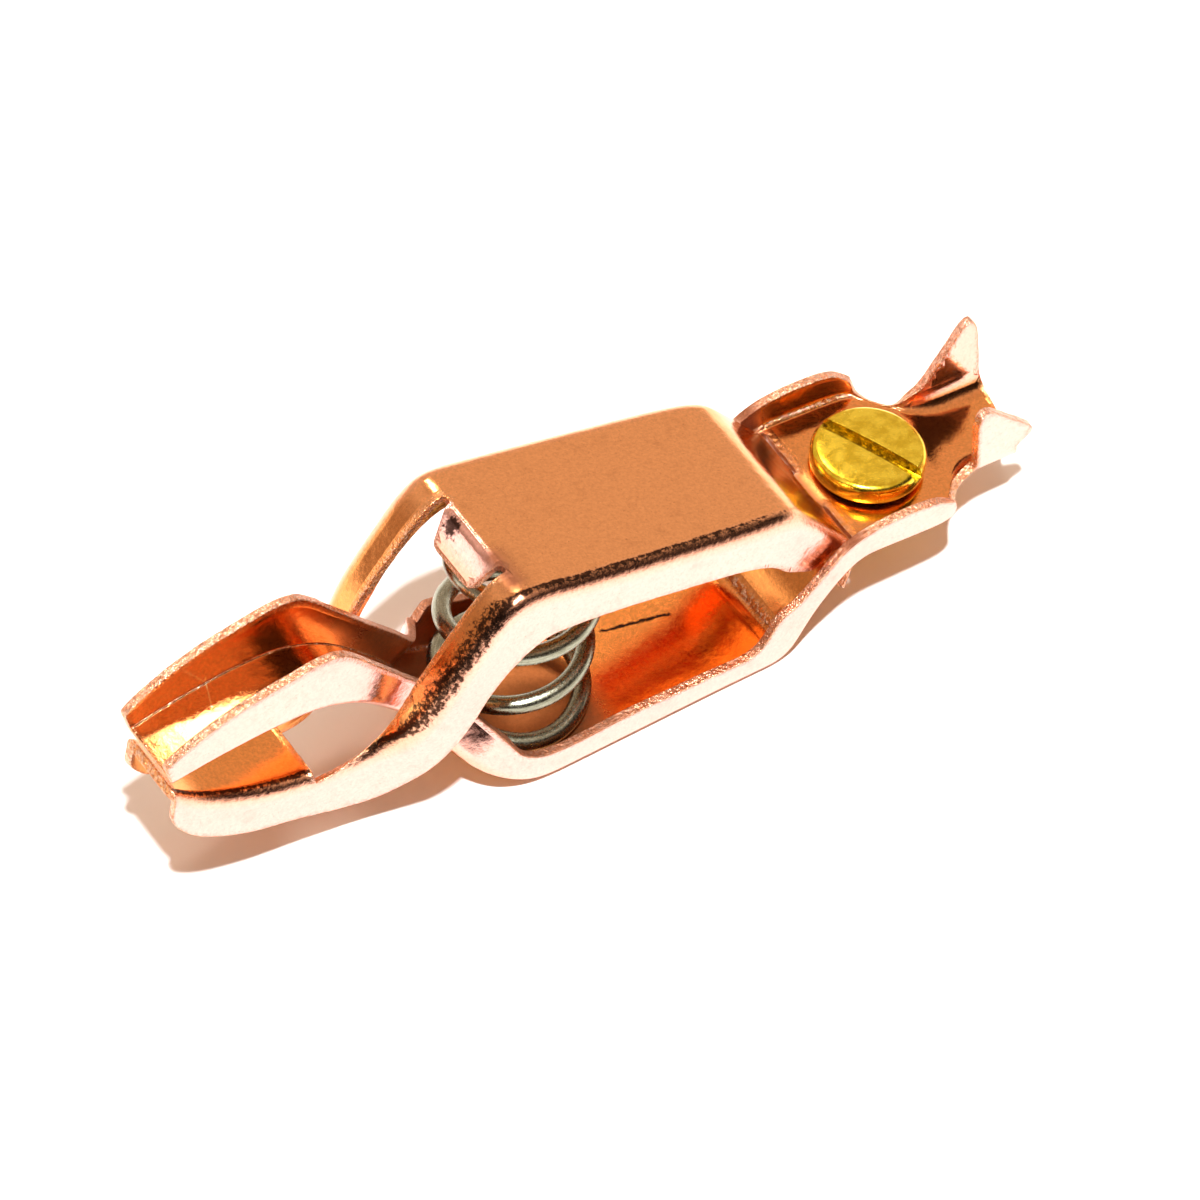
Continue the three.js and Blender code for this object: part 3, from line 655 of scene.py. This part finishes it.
def upper_lever():
    channel = Channel(UPPER_STATIONS)
    outline = upper_outline(channel)
    rear_row = plan_loop(channel, [(WINDOW_REAR, 0)])[0][0]
    channel.add_tab(rear_row)
    tip_row = rear_row + TAB_LENGTH / ROW_GAP
    root, tip = (column_at(channel, rear_row, y) for y in (TAB_ROOT_HALF, TAB_TIP_HALF))
    loops = [dense_loop(outline), dense_loop(window_loop(channel, rear_row, tip_row, root, tip))]
    end_row, knee_row, foot_row, jaw_row = (
        channel.row_at(x) for x in (PLATE_END_X, KNEE_X, NECK_FOOT_X, WINDOW_FRONT))

    def on_tab(flat):
        limit = root + (tip - root) * np.clip((flat[:, 0] - rear_row) / (tip_row - rear_row), 0, 1) + 0.3
        past = (flat[:, 0] > rear_row) & (flat[:, 0] < tip_row + 0.5)
        return past & (np.abs(flat[:, 1]) < limit)

    def stain(flat):
        """A dark line along the near fold, painted where the fold reflects dark, with ragged specks; wider
        on the slope down to the jaw, and a dark spot on the tab.
        """
        slope = np.clip((flat[:, 0] - knee_row) / 4, 0, 1) * np.clip((foot_row - flat[:, 0]) / 12, 0, 1)
        centre = 0.2 + 0.06 * slope
        width = np.interp(flat[:, 0], [20, knee_row], [0.09, 0.14]) + 0.36 * slope
        fold = (-flat[:, 1] - WEB_COLUMNS) / BEND_COLUMNS
        fade = np.clip(flat[:, 0] / 30 - 0.6, 0, 1)
        line = fade * np.clip(1.3 - np.abs(fold - centre) / width, 0, 1 - 0.28 * slope)
        along = (flat[:, 0] - rear_row) / (tip_row - rear_row)
        spot = np.hypot((along - 0.36) / 0.36, (flat[:, 1] / root - 0.55) / 0.32)
        return np.where(on_tab(flat), np.clip(1.3 - spot, 0, 1), line)

    def dull(flat):
        """Matt copper darkened with painted shade, which dims a highlight: the end of the thumb plate beside
        the tab, on the near side.
        """
        beside = np.clip((-flat[:, 1] - 2) / 2, 0, 1) * np.clip((WEB_COLUMNS + 1 + flat[:, 1]) / 2, 0, 1)
        return beside * near_row(flat, end_row, 2.6)

    def shaded(flat):
        """Painted shade on the slope below the knee and on the floor between the jaws, which see little but
        copper.
        """
        rows = [knee_row + 2, knee_row + 8, jaw_row, jaw_row + 3]
        return np.interp(flat[:, 0], rows, [0.0, 0.7, 0.7, 0.9]) * (np.abs(flat[:, 1]) < WEB_COLUMNS + 2)

    return stamped_sheet(
        "upper_plate", channel, loops, on_tab=on_tab, shaded=shaded, dull_outside=dull, stain=stain)


# ---------- spring

def coil_path(count):
    """The wire's centre line: an open helix that leans back, bows towards the hinge and closes on top."""
    t = np.linspace(0, 1, count)
    turn = t * COIL_TURNS
    angle = COIL_START + turn * 2 * math.pi
    rise = COIL_PITCH * turn
    left = COIL_TURNS - turn
    closed = COIL_PITCH * (COIL_TURNS - COIL_CLOSING / 2) - COIL_PITCH * left**2 / (2 * COIL_CLOSING)
    rise = np.where(turn < COIL_TURNS - COIL_CLOSING, rise, closed)
    rise += COIL_LIFT * np.clip(1 - turn / COIL_LIFT_TURNS, 0, 1) ** 2
    forward = COIL_RADIUS * np.cos(angle)
    return np.stack([
        COIL_FOOT + COIL_BOW * t * t + forward,
        COIL_RADIUS * np.sin(angle),
        COIL_FOOT_Z + rise + forward * np.tan(COIL_TILT * t),
    ], 1)


def swept_tube(name, path, radii, sides):
    """A round tube along path. Its attribute wire holds the millimetres along it and the place round it."""
    tangent = normalised(np.gradient(path, axis=0))
    side = normalised(np.cross(tangent, np.array([0.0, 0.0, 1.0])))
    up = np.cross(side, tangent)
    angles = np.linspace(0, 2 * math.pi, sides, endpoint=False)
    ring = np.cos(angles)[None, :, None] * side[:, None] + np.sin(angles)[None, :, None] * up[:, None]
    verts = (path[:, None] + ring * radii[:, None, None]).reshape(-1, 3)
    faces = []
    for i in range(len(path) - 1):
        for k in range(sides):
            a, b = i * sides + k, i * sides + (k + 1) % sides
            faces.append((a, a + sides, b + sides, b))
    faces.append(tuple(range(sides)))
    last = (len(path) - 1) * sides
    faces.append(tuple(last + k for k in range(sides))[::-1])
    mesh = new_mesh(name, ((verts + FRAME_SHIFT) * MM).tolist(), faces)
    mesh.shade_smooth()
    travelled = np.concatenate([[0], np.cumsum(np.linalg.norm(np.diff(path, axis=0), axis=1))])
    wire = mesh.attributes.new("wire", "FLOAT_VECTOR", "POINT")
    values = np.zeros((len(path), sides, 3), np.float32)
    values[:, :, 0] = travelled[:, None]
    values[:, :, 1] = np.cos(angles)
    values[:, :, 2] = np.sin(angles)
    wire.data.foreach_set("vector", values.ravel())
    return add_piece(name, mesh)


def grip_spring():
    path = coil_path(COIL_STEPS)
    radii = np.full(len(path), WIRE_RADIUS)
    for k, share in enumerate(WIRE_END):
        radii[k] *= share
        radii[-1 - k] *= share
    return swept_tube("spring_wire", path, radii, WIRE_SIDES)


# ---------- terminal screw

def lathe(name, profile, sides, radius_at):
    """A turned solid: profile is (radius, height) from axis to axis; radius_at may change a radius."""
    rows = []
    verts, faces = [(0, 0, profile[0][1])], []
    for radius, height in profile[1:-1]:
        rows.append(len(verts))
        for k in range(sides):
            a = 2 * math.pi * k / sides
            r = radius_at(radius, height, a)
            verts.append((r * math.cos(a), r * math.sin(a), height))
    verts.append((0, 0, profile[-1][1]))
    for k in range(sides):
        following = (k + 1) % sides
        faces.append((0, rows[0] + following, rows[0] + k))
        for a, b in zip(rows, rows[1:]):
            faces.append((a + k, a + following, b + following, b + k))
        faces.append((rows[-1] + k, rows[-1] + following, len(verts) - 1))
    return add_piece(name, new_mesh(name, verts, faces))


def thread_radius(radius, height, angle):
    """The shank's radius with a triangular thread cut in it, between the tip and the head."""
    if not -SHANK_LENGTH + SHANK_TIP < height < -0.35:
        return radius
    phase = (height / THREAD_PITCH - angle / (2 * math.pi)) % 1.0
    return radius + THREAD_DEPTH * (abs(2 * phase - 1) - 0.75)


def screw_profile():
    """Half the screw's outline, as (radius, height) above the deck, from the tip to the crown."""
    tip = [(0, -SHANK_LENGTH), (SHANK_RADIUS - 0.45, -SHANK_LENGTH)]
    tip.append((SHANK_RADIUS - 0.12, -SHANK_LENGTH + SHANK_TIP))
    heights = np.arange(-SHANK_LENGTH + SHANK_TIP + 0.06, -0.3, THREAD_PITCH / 10)
    shank = [(SHANK_RADIUS, h) for h in heights] + [(SHANK_RADIUS - 0.1, -0.2), (SHANK_RADIUS, 0.0)]
    underside = [(r, 0.0) for r in (2.2, 2.8, HEAD_RADIUS - 0.14)]
    rim = [(HEAD_RADIUS + out, h) for out, h in (
        (-0.04, 0.03), (0, 0.13), (0.015, 0.45), (0, 0.8), (-0.05, 0.98), (-0.14, 1.12), (-0.28, 1.23))]
    crown = [(r, HEAD_HEIGHT - HEAD_CROWN * (r / HEAD_RADIUS) ** 2.4)
             for r in np.linspace(HEAD_RADIUS - 0.45, 0.3, 9)]
    return tip + shank + underside + rim + crown + [(0, HEAD_HEIGHT)]


def groove_cutter():
    """A block as wide as the driver's groove, from its floor to well above the head."""
    w, reach, low, high = GROOVE_WIDTH / 2, HEAD_RADIUS + 1, HEAD_HEIGHT - GROOVE_DEPTH, HEAD_HEIGHT + 1
    outline = ((-w, -reach), (w, -reach), (w, reach), (-w, reach))
    corners = [(x, y, z) for z in (low, high) for x, y in outline]
    sides = [(0, 3, 2, 1), (4, 5, 6, 7), (0, 1, 5, 4), (1, 2, 6, 5), (2, 3, 7, 6), (3, 0, 4, 7)]
    cutter = add_piece("slot_cutter", new_mesh("slot_cutter", corners, sides))
    cutter.matrix_world = Matrix.Rotation(SCREW_TURN, 4, "Z")
    return cutter


def terminal_screw():
    body = lathe("screw", screw_profile(), SCREW_SIDES, thread_radius)
    cutter = groove_cutter()
    bpy.context.view_layer.update()
    cut = body.modifiers.new("slot", "BOOLEAN")
    cut.object, cut.operation, cut.solver = cutter, "DIFFERENCE", "EXACT"
    bevel = body.modifiers.new("soft_edges", "BEVEL")
    bevel.width, bevel.segments, bevel.limit_method = GROOVE_BEVEL, 3, "ANGLE"
    bevel.angle_limit = math.radians(40)
    bevel.harden_normals = False
    graph = bpy.context.evaluated_depsgraph_get()
    mesh = bpy.data.meshes.new_from_object(body.evaluated_get(graph))
    body.modifiers.clear()
    body.data = mesh
    bpy.data.objects.remove(cutter)
    across = Vector((math.cos(SCREW_TURN), math.sin(SCREW_TURN), 0))
    floor_z = HEAD_HEIGHT - GROOVE_DEPTH
    write_attribute(mesh, "groove", [
        abs(v.co.dot(across)) < GROOVE_WIDTH / 2 + 0.05 and floor_z - 0.1 < v.co.z < HEAD_HEIGHT - 0.3
        for v in mesh.vertices])
    place = Matrix.Scale(MM, 4) @ Matrix.Translation(Vector(FRAME_SHIFT) + Vector((SCREW_X, 0, SCREW_SEAT)))
    mesh.transform(place @ Matrix.Rotation(SCREW_LEAN, 4, "Y"))
    mesh.shade_smooth()
    mesh.set_sharp_from_angle(angle=math.radians(32))
    return body


# ---------- nodes

def material(name):
    made = bpy.data.materials.new(name)
    made.use_nodes = True
    return made, made.node_tree, made.node_tree.nodes["Principled BSDF"]


def node(tree, kind, **settings):
    made = tree.nodes.new(kind)
    for key, value in settings.items():
        setattr(made, key, value)
    return made


def feed(tree, socket, value):
    """Links a socket, or sets it to a number, a colour or a vector."""
    if isinstance(value, bpy.types.NodeSocket):
        tree.links.new(value, socket)
    else:
        socket.default_value = value


def maths(tree, operation, *values):
    """The result of a sum on sockets or numbers."""
    made = node(tree, "ShaderNodeMath", operation=operation)
    for socket, value in zip(made.inputs, values):
        feed(tree, socket, value)
    return made.outputs[0]


def vector_maths(tree, operation, first, second, result="Value"):
    made = node(tree, "ShaderNodeVectorMath", operation=operation)
    feed(tree, made.inputs[0], first)
    feed(tree, made.inputs[1], second)
    return made.outputs[result]


def attribute(tree, name):
    return node(tree, "ShaderNodeAttribute", attribute_name=name).outputs["Fac"]


def scaled(tree, vector, scale):
    made = node(tree, "ShaderNodeMapping")
    made.inputs["Scale"].default_value = scale
    tree.links.new(vector, made.inputs["Vector"])
    return made.outputs["Vector"]


def millimetres(tree):
    """Object coordinates in millimetres."""
    return scaled(tree, node(tree, "ShaderNodeTexCoord").outputs["Object"], (1 / MM,) * 3)


def noise_of(tree, vector, scale, detail, rough):
    made = node(tree, "ShaderNodeTexNoise")
    for key, value in (("Scale", scale), ("Detail", detail), ("Roughness", rough), ("Vector", vector)):
        feed(tree, made.inputs[key], value)
    return made.outputs["Fac"]


def remap(tree, value, low, high, to_low, to_high, kind="LINEAR"):
    made = node(tree, "ShaderNodeMapRange", interpolation_type=kind)
    for key, number in (("From Min", low), ("From Max", high), ("To Min", to_low), ("To Max", to_high)):
        made.inputs[key].default_value = number
    tree.links.new(value, made.inputs["Value"])
    return made.outputs["Result"]


def smooth_step(tree, value, low, high):
    return remap(tree, value, low, high, 0, 1, "SMOOTHSTEP")


def blend_colours(tree, share, first, second):
    made = node(tree, "ShaderNodeMix", data_type="RGBA")
    for key, colour in (("A", first), ("B", second)):
        socket = next(s for s in made.inputs if s.name == key and s.type == "RGBA")
        feed(tree, socket, colour + (1.0,) if isinstance(colour, tuple) else colour)
    tree.links.new(share, made.inputs["Factor"])
    return next(s for s in made.outputs if s.type == "RGBA")


def layered(tree, colour, layers):
    """The colour under layers of (share, colour), the last of them on top."""
    for share, over in layers:
        colour = blend_colours(tree, share, colour, over)
    return colour


def bare_metal(tree, shader, colour, rough, layers):
    """Wires up a metal. Its bump layers are (height, strength, distance in millimetres), chained."""
    tree.links.new(colour, shader.inputs["Base Color"])
    tree.links.new(rough, shader.inputs["Roughness"])
    shader.inputs["Metallic"].default_value = 1.0
    previous = None
    for height, strength, distance in layers:
        made = node(tree, "ShaderNodeBump")
        made.inputs["Strength"].default_value = strength
        made.inputs["Distance"].default_value = distance * MM
        tree.links.new(height, made.inputs["Height"])
        if previous is not None:
            tree.links.new(previous, made.inputs["Normal"])
        previous = made.outputs["Normal"]
    tree.links.new(previous, shader.inputs["Normal"])


# ---------- copper

WEB_COPPER = (0.94, 0.44, 0.185)  # the broad faces
FLANGE_SHEEN_COPPER = (0.98, 0.56, 0.49)  # painted sheen: the paler copper of the side flanges and the tab, which reflect the bright floor
HOLLOW_SHADE_COPPER = (0.9, 0.345, 0.09)  # painted shade: the deeper colour inside the channels, where copper mostly reflects copper
# Painted shade: darker copper where a highlight is kept off.
PAINTED_SHADE_COPPER = (0.32, 0.12, 0.06)
TARNISH = (0.3, 0.09, 0.03)
# Painted glint: pale copper in spots along rims and creases, and along the jaw's scratch.
GLINT_COPPER = (1.0, 0.78, 0.62)
# Near black: the dark line painted along the near fold, the tab's spot and the gouge in the grip.
DARK_STAIN_AND_REFLECTION = (0.035, 0.013, 0.008)


def scratch(tree, place, start, end, width):
    """1 along a straight ragged scratch between two points of the shared frame, in millimetres."""
    start, end = Vector(start), Vector(end)
    across = Vector((0, 0, 1)).cross((end - start).normalized()).normalized()
    offset = vector_maths(tree, "SUBTRACT", place, start, "Vector")
    aside = vector_maths(tree, "DOT_PRODUCT", offset, across)
    uneven = remap(tree, noise_of(tree, place, 3.0, 4.0, 0.7), 0.3, 0.7, -0.6 * width, 0.6 * width)
    distance = maths(tree, "ABSOLUTE", maths(tree, "ADD", aside, uneven))
    from_middle = vector_maths(tree, "DISTANCE", place, (start + end) / 2)
    half = (end - start).length / 2
    line = smooth_step(tree, distance, width, 0.3 * width)
    return maths(tree, "MULTIPLY", line, smooth_step(tree, from_middle, half, 0.9 * half))


def copper_wear_and_painted_light(tree, place, marks, ragged):
    """The layers of (share, colour) over the clean copper, in the order in which they lie: tarnish and worn
    edges, a painted glint on rims and creases, the dark line painted along the near fold, painted shade, and
    two scratches, the jaw's one painted as a highlight.
    """
    def patches(scale, detail, rough, low, high, strength):
        return remap(tree, noise_of(tree, place, scale, detail, rough), low, high, 0, strength)

    worn = maths(tree, "MULTIPLY", patches(3.5, 4.0, 0.7, 0.4, 0.62, 0.6), ragged)
    # Painted glint: pale spots along the rims and creases.
    glint_share = maths(tree, "MAXIMUM", remap(tree, marks["rim"], 0, 1, 0, 0.4), marks["crease"])
    glint = maths(tree, "MULTIPLY", patches(4.2, 3.0, 0.6, 0.47, 0.56, 0.9), glint_share)
    return [
        (patches(0.9, 6.0, 0.7, 0.54, 0.78, 0.22), TARNISH),
        (patches(8.0, 2.0, 0.6, 0.62, 0.78, 0.5), TARNISH),
        (worn, TARNISH),
        (glint, GLINT_COPPER),
        (marks["stained"], DARK_STAIN_AND_REFLECTION),
        (marks["dull"], PAINTED_SHADE_COPPER),
        # The gouge is a dark scratch; the jaw's scratch is a real mark painted as a pale highlight.
        (scratch(tree, place, *GRIP_GOUGE), DARK_STAIN_AND_REFLECTION),
        (scratch(tree, place, *JAW_SCRATCH), GLINT_COPPER),
    ]


def copper_relief(tree, place, marks, ragged, grain):
    """Bump layers: soft waves, wrinkles along the folds, grain, and burrs on the cut edges."""
    folded = maths(tree, "MULTIPLY_ADD", maths(tree, "PINGPONG", marks["side"], 0.5), 1.5, 0.25)
    wrinkles = maths(tree, "MULTIPLY", noise_of(tree, place, 2.4, 5.0, 0.68), folded)
    burr = maths(tree, "MULTIPLY", noise_of(tree, place, 5.0, 3.0, 0.6), ragged)
    calm = remap(tree, marks["hollow_shade"], 0, 1, 1.0, 0.35)
    waves, wrinkles, grain = (
        maths(tree, "MULTIPLY", height, calm)
        for height in (noise_of(tree, place, 0.8, 2.0, 0.5), wrinkles, grain))
    return [(waves, 0.6, 0.06), (wrinkles, 1.0, 0.045), (grain, 0.4, 0.009), (burr, 1.0, 0.14)]


def copper_plate():
    made, tree, shader = material("copper_plate")
    place = millimetres(tree)
    marks = {name: attribute(tree, name) for name in ("rim", "hollow_shade", "side", "crease", "dull", "stain")}
    # The dark line, torn into ragged specks: a painted dark reflection along the near fold, and the tab's
    # spot.
    torn = remap(tree, noise_of(tree, place, 3.2, 6.0, 0.75), 0.2, 0.8, -0.6, 0.6)
    marks["stained"] = remap(tree, maths(tree, "ADD", marks["stain"], torn), 0.52, 0.72, 0, 0.96)
    ragged = maths(tree, "MAXIMUM", marks["rim"], marks["crease"])
    grain = noise_of(tree, place, 7.0, 3.0, 0.65)

    # Painted sheen: paler copper towards the flanges. Painted shade: deeper copper in the hollows.
    clean = blend_colours(tree, marks["side"], WEB_COPPER, FLANGE_SHEEN_COPPER)
    clean = blend_colours(tree, marks["hollow_shade"], clean, HOLLOW_SHADE_COPPER)
    fine = node(tree, "ShaderNodeHueSaturation")
    speckle = noise_of(tree, place, 4.5, 5.0, 0.75)
    tree.links.new(remap(tree, speckle, 0.3, 0.7, 0.84, 1.12), fine.inputs["Value"])
    tree.links.new(layered(tree, clean, copper_wear_and_painted_light(tree, place, marks, ragged)), fine.inputs["Color"])

    polished = remap(tree, grain, 0.3, 0.7, 0.08, 0.17)
    rough = maths(tree, "ADD", polished, remap(tree, marks["rim"], 0.0, 1.0, 0.0, 0.14))
    matt = maths(tree, "MAXIMUM", marks["dull"], remap(tree, marks["stained"], 0, 1, 0, 0.3))
    rough = maths(tree, "MULTIPLY_ADD", matt, 0.4, rough)
    bare_metal(tree, shader, fine.outputs["Color"], rough, copper_relief(tree, place, marks, ragged, grain))
    return made


# ---------- steel, brass and floor

STEEL_PALE, STEEL_DARK = (0.44, 0.45, 0.35), (0.2, 0.2, 0.14)
BRASS, WORN_BRASS, GROOVE_DARK = (0.99, 0.78, 0.08), (0.76, 0.55, 0.035), (0.16, 0.09, 0.01)
PAPER = (0.93, 0.92, 0.9, 1)


def spring_steel():
    """Drawn wire: its streaks are stretched along it."""
    made, tree, shader = material("spring_steel")
    wire = node(tree, "ShaderNodeAttribute", attribute_name="wire").outputs["Vector"]
    drawn = noise_of(tree, scaled(tree, wire, (0.35, 2.4, 2.4)), 3.0, 5.0, 0.7)
    pits = noise_of(tree, millimetres(tree), 6.0, 4.0, 0.65)
    colour = blend_colours(tree, remap(tree, drawn, 0.35, 0.65, 0, 1), STEEL_PALE, STEEL_DARK)
    rough = remap(tree, pits, 0.3, 0.7, 0.16, 0.34)
    bare_metal(tree, shader, colour, rough, [(drawn, 0.4, 0.03), (pits, 0.25, 0.012)])
    return made


def turned_brass():
    """Brass with small dings, and darker patches down in the driver's groove."""
    made, tree, shader = material("turned_brass")
    place = millimetres(tree)
    dings = noise_of(tree, place, 1.3, 5.0, 0.6)
    grain = noise_of(tree, place, 7.0, 3.0, 0.6)
    patchy = remap(tree, noise_of(tree, place, 2.6, 5.0, 0.7), 0.42, 0.6, 0, 0.85)
    # Darker in patches towards the floor of the driver's groove.
    groove_darkening = maths(tree, "MULTIPLY", attribute(tree, "groove"), patchy)
    colour = layered(tree, BRASS, [(remap(tree, dings, 0.4, 0.62, 0, 1), WORN_BRASS), (groove_darkening, GROOVE_DARK)])
    rough = remap(tree, grain, 0.3, 0.7, 0.16, 0.28)
    bare_metal(tree, shader, colour, rough, [(dings, 0.35, 0.05), (grain, 0.3, 0.01)])
    return made


def pale_floor():
    made, tree, shader = material("pale_floor")
    shader.inputs["Base Color"].default_value = PAPER
    shader.inputs["Roughness"].default_value = 0.7
    return made


# ---------- stage and light

KEY_TOWARDS, KEY_STRENGTH, KEY_COLOUR = (-0.13, -0.29, 0.92), 5.0, (0.97, 0.98, 1.0)
LAMP_TOWARDS, LAMP_CORE, LAMP_EDGE = (0.15, 0.53, 0.834), math.radians(5), math.radians(8)
LAMP = (14.0, 11.2, 9.0)
ROOM_TAN, ROOM_LEFT = (0.8, 0.6, 0.46), (0.45, 0.31, 0.23)
ROOM_DARK, ROOM_TOP = (0.025, 0.014, 0.01), (0.6, 0.41, 0.27)
HORIZON, HORIZON_LEFT = (1.35, 1.12, 0.97), (2.2, 1.95, 1.8)
FLOOR_REACH = 1.5  # metres


def floor():
    corners = [(x * FLOOR_REACH, y * FLOOR_REACH, 0) for x, y in ((-1, -1), (1, -1), (1, 1), (-1, 1))]
    piece = add_piece("floor", new_mesh("floor", corners, [(0, 1, 2, 3)]))
    piece.data.materials.append(pale_floor())


def key_light():
    """One hard lamp from the camera's side, high up, for crisp shadows."""
    data = bpy.data.lights.new("key", "SUN")
    data.energy = KEY_STRENGTH
    data.angle = math.radians(3.0)
    data.color = KEY_COLOUR
    light = add_piece("key", data)
    towards = Vector(KEY_TOWARDS)
    light.location = towards * 0.5
    light.rotation_euler = towards.to_track_quat("Z", "Y").to_euler()


def studio_world():
    """A tan room, dark behind the camera, lighter overhead and pale along the horizon.

    A small soft lamp stands high on the far side. Only the direction matters.
    """
    world = bpy.data.worlds.new("studio")
    bpy.context.scene.world = world
    world.use_nodes = True
    tree = world.node_tree
    tree.nodes.clear()
    background = node(tree, "ShaderNodeBackground")
    tree.links.new(background.outputs[0], node(tree, "ShaderNodeOutputWorld").inputs["Surface"])
    direction = node(tree, "ShaderNodeTexCoord").outputs["Generated"]
    split = node(tree, "ShaderNodeSeparateXYZ")
    tree.links.new(direction, split.inputs[0])
    x, y, z = split.outputs

    near = smooth_step(tree, y, 0.12, -0.04)
    behind_camera = maths(tree, "MULTIPLY", near, smooth_step(tree, z, 0.78, 0.66))
    right = maths(tree, "MULTIPLY", smooth_step(tree, z, 0.28, 0.12), smooth_step(tree, x, -0.1, 0.3))
    near_right = maths(tree, "MULTIPLY", right, near)
    horizon = maths(tree, "MAXIMUM", smooth_step(tree, z, 0.16, 0.02), near_right)
    glow = blend_colours(tree, smooth_step(tree, x, -0.55, -0.8), HORIZON, HORIZON_LEFT)
    facing = vector_maths(tree, "DOT_PRODUCT", direction, Vector(LAMP_TOWARDS).normalized())
    colour = layered(tree, ROOM_TAN, [
        (smooth_step(tree, x, -0.55, -0.85), ROOM_LEFT),
        (behind_camera, ROOM_DARK),
        (smooth_step(tree, z, 0.76, 0.92), ROOM_TOP),
        (horizon, glow),
        (smooth_step(tree, facing, math.cos(LAMP_EDGE), math.cos(LAMP_CORE)), LAMP),
    ])
    tree.links.new(colour, background.inputs["Color"])


# ---------- camera

# The photograph's viewpoint: angles in radians, distance and shifts in millimetres.
CAMERA_AZIMUTH, CAMERA_ELEVATION, CAMERA_ROLL = -0.56770744, 0.89047978, 0.0018409
CAMERA_DISTANCE, CAMERA_RIGHT, CAMERA_UP = 669.103, -1.48810, -3.99113
PIXELS_PER_MM, FRAME_PIXELS, SENSOR = 16.8, 1200, 36.0


def camera():
    ca, sa = math.cos(CAMERA_AZIMUTH), math.sin(CAMERA_AZIMUTH)
    ce, se = math.cos(CAMERA_ELEVATION), math.sin(CAMERA_ELEVATION)
    back = Vector((sa * ce, -ca * ce, se))
    right = Vector((ca, sa, 0))
    up = back.cross(right)
    turned_right = right * math.cos(CAMERA_ROLL) + up * math.sin(CAMERA_ROLL)
    turned_up = up * math.cos(CAMERA_ROLL) - right * math.sin(CAMERA_ROLL)
    data = bpy.data.cameras.new("camera")
    data.sensor_width = SENSOR
    data.lens = SENSOR * PIXELS_PER_MM * CAMERA_DISTANCE / FRAME_PIXELS
    data.clip_start, data.clip_end = 0.01, 20
    view = add_piece("camera", data)
    spot = back * CAMERA_DISTANCE - turned_right * CAMERA_RIGHT - turned_up * CAMERA_UP
    turn = Matrix((turned_right, turned_up, back)).transposed().to_4x4()
    view.matrix_world = Matrix.Translation((spot + Vector(FRAME_SHIFT)) * MM) @ turn
    bpy.context.scene.camera = view


# ---------- assembly

plate_low = lower_lever()
copper = copper_plate()
plate_low.data.materials.append(copper)
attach(plate_low, "lower_jaw_body")
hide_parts("lower_lever")

plate_high = upper_lever()
plate_high.data.materials.append(copper)
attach(plate_high, "upper_grip_body")
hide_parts("upper_lever")

coil = grip_spring()
coil.data.materials.append(spring_steel())
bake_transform(coil)
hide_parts("grip_spring")

screw = terminal_screw()
screw.data.materials.append(turned_brass())
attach(screw, "screw_body")
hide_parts("terminal_screw")

floor()
studio_world()
key_light()
camera()
bpy.context.scene.view_settings.view_transform = "Standard"
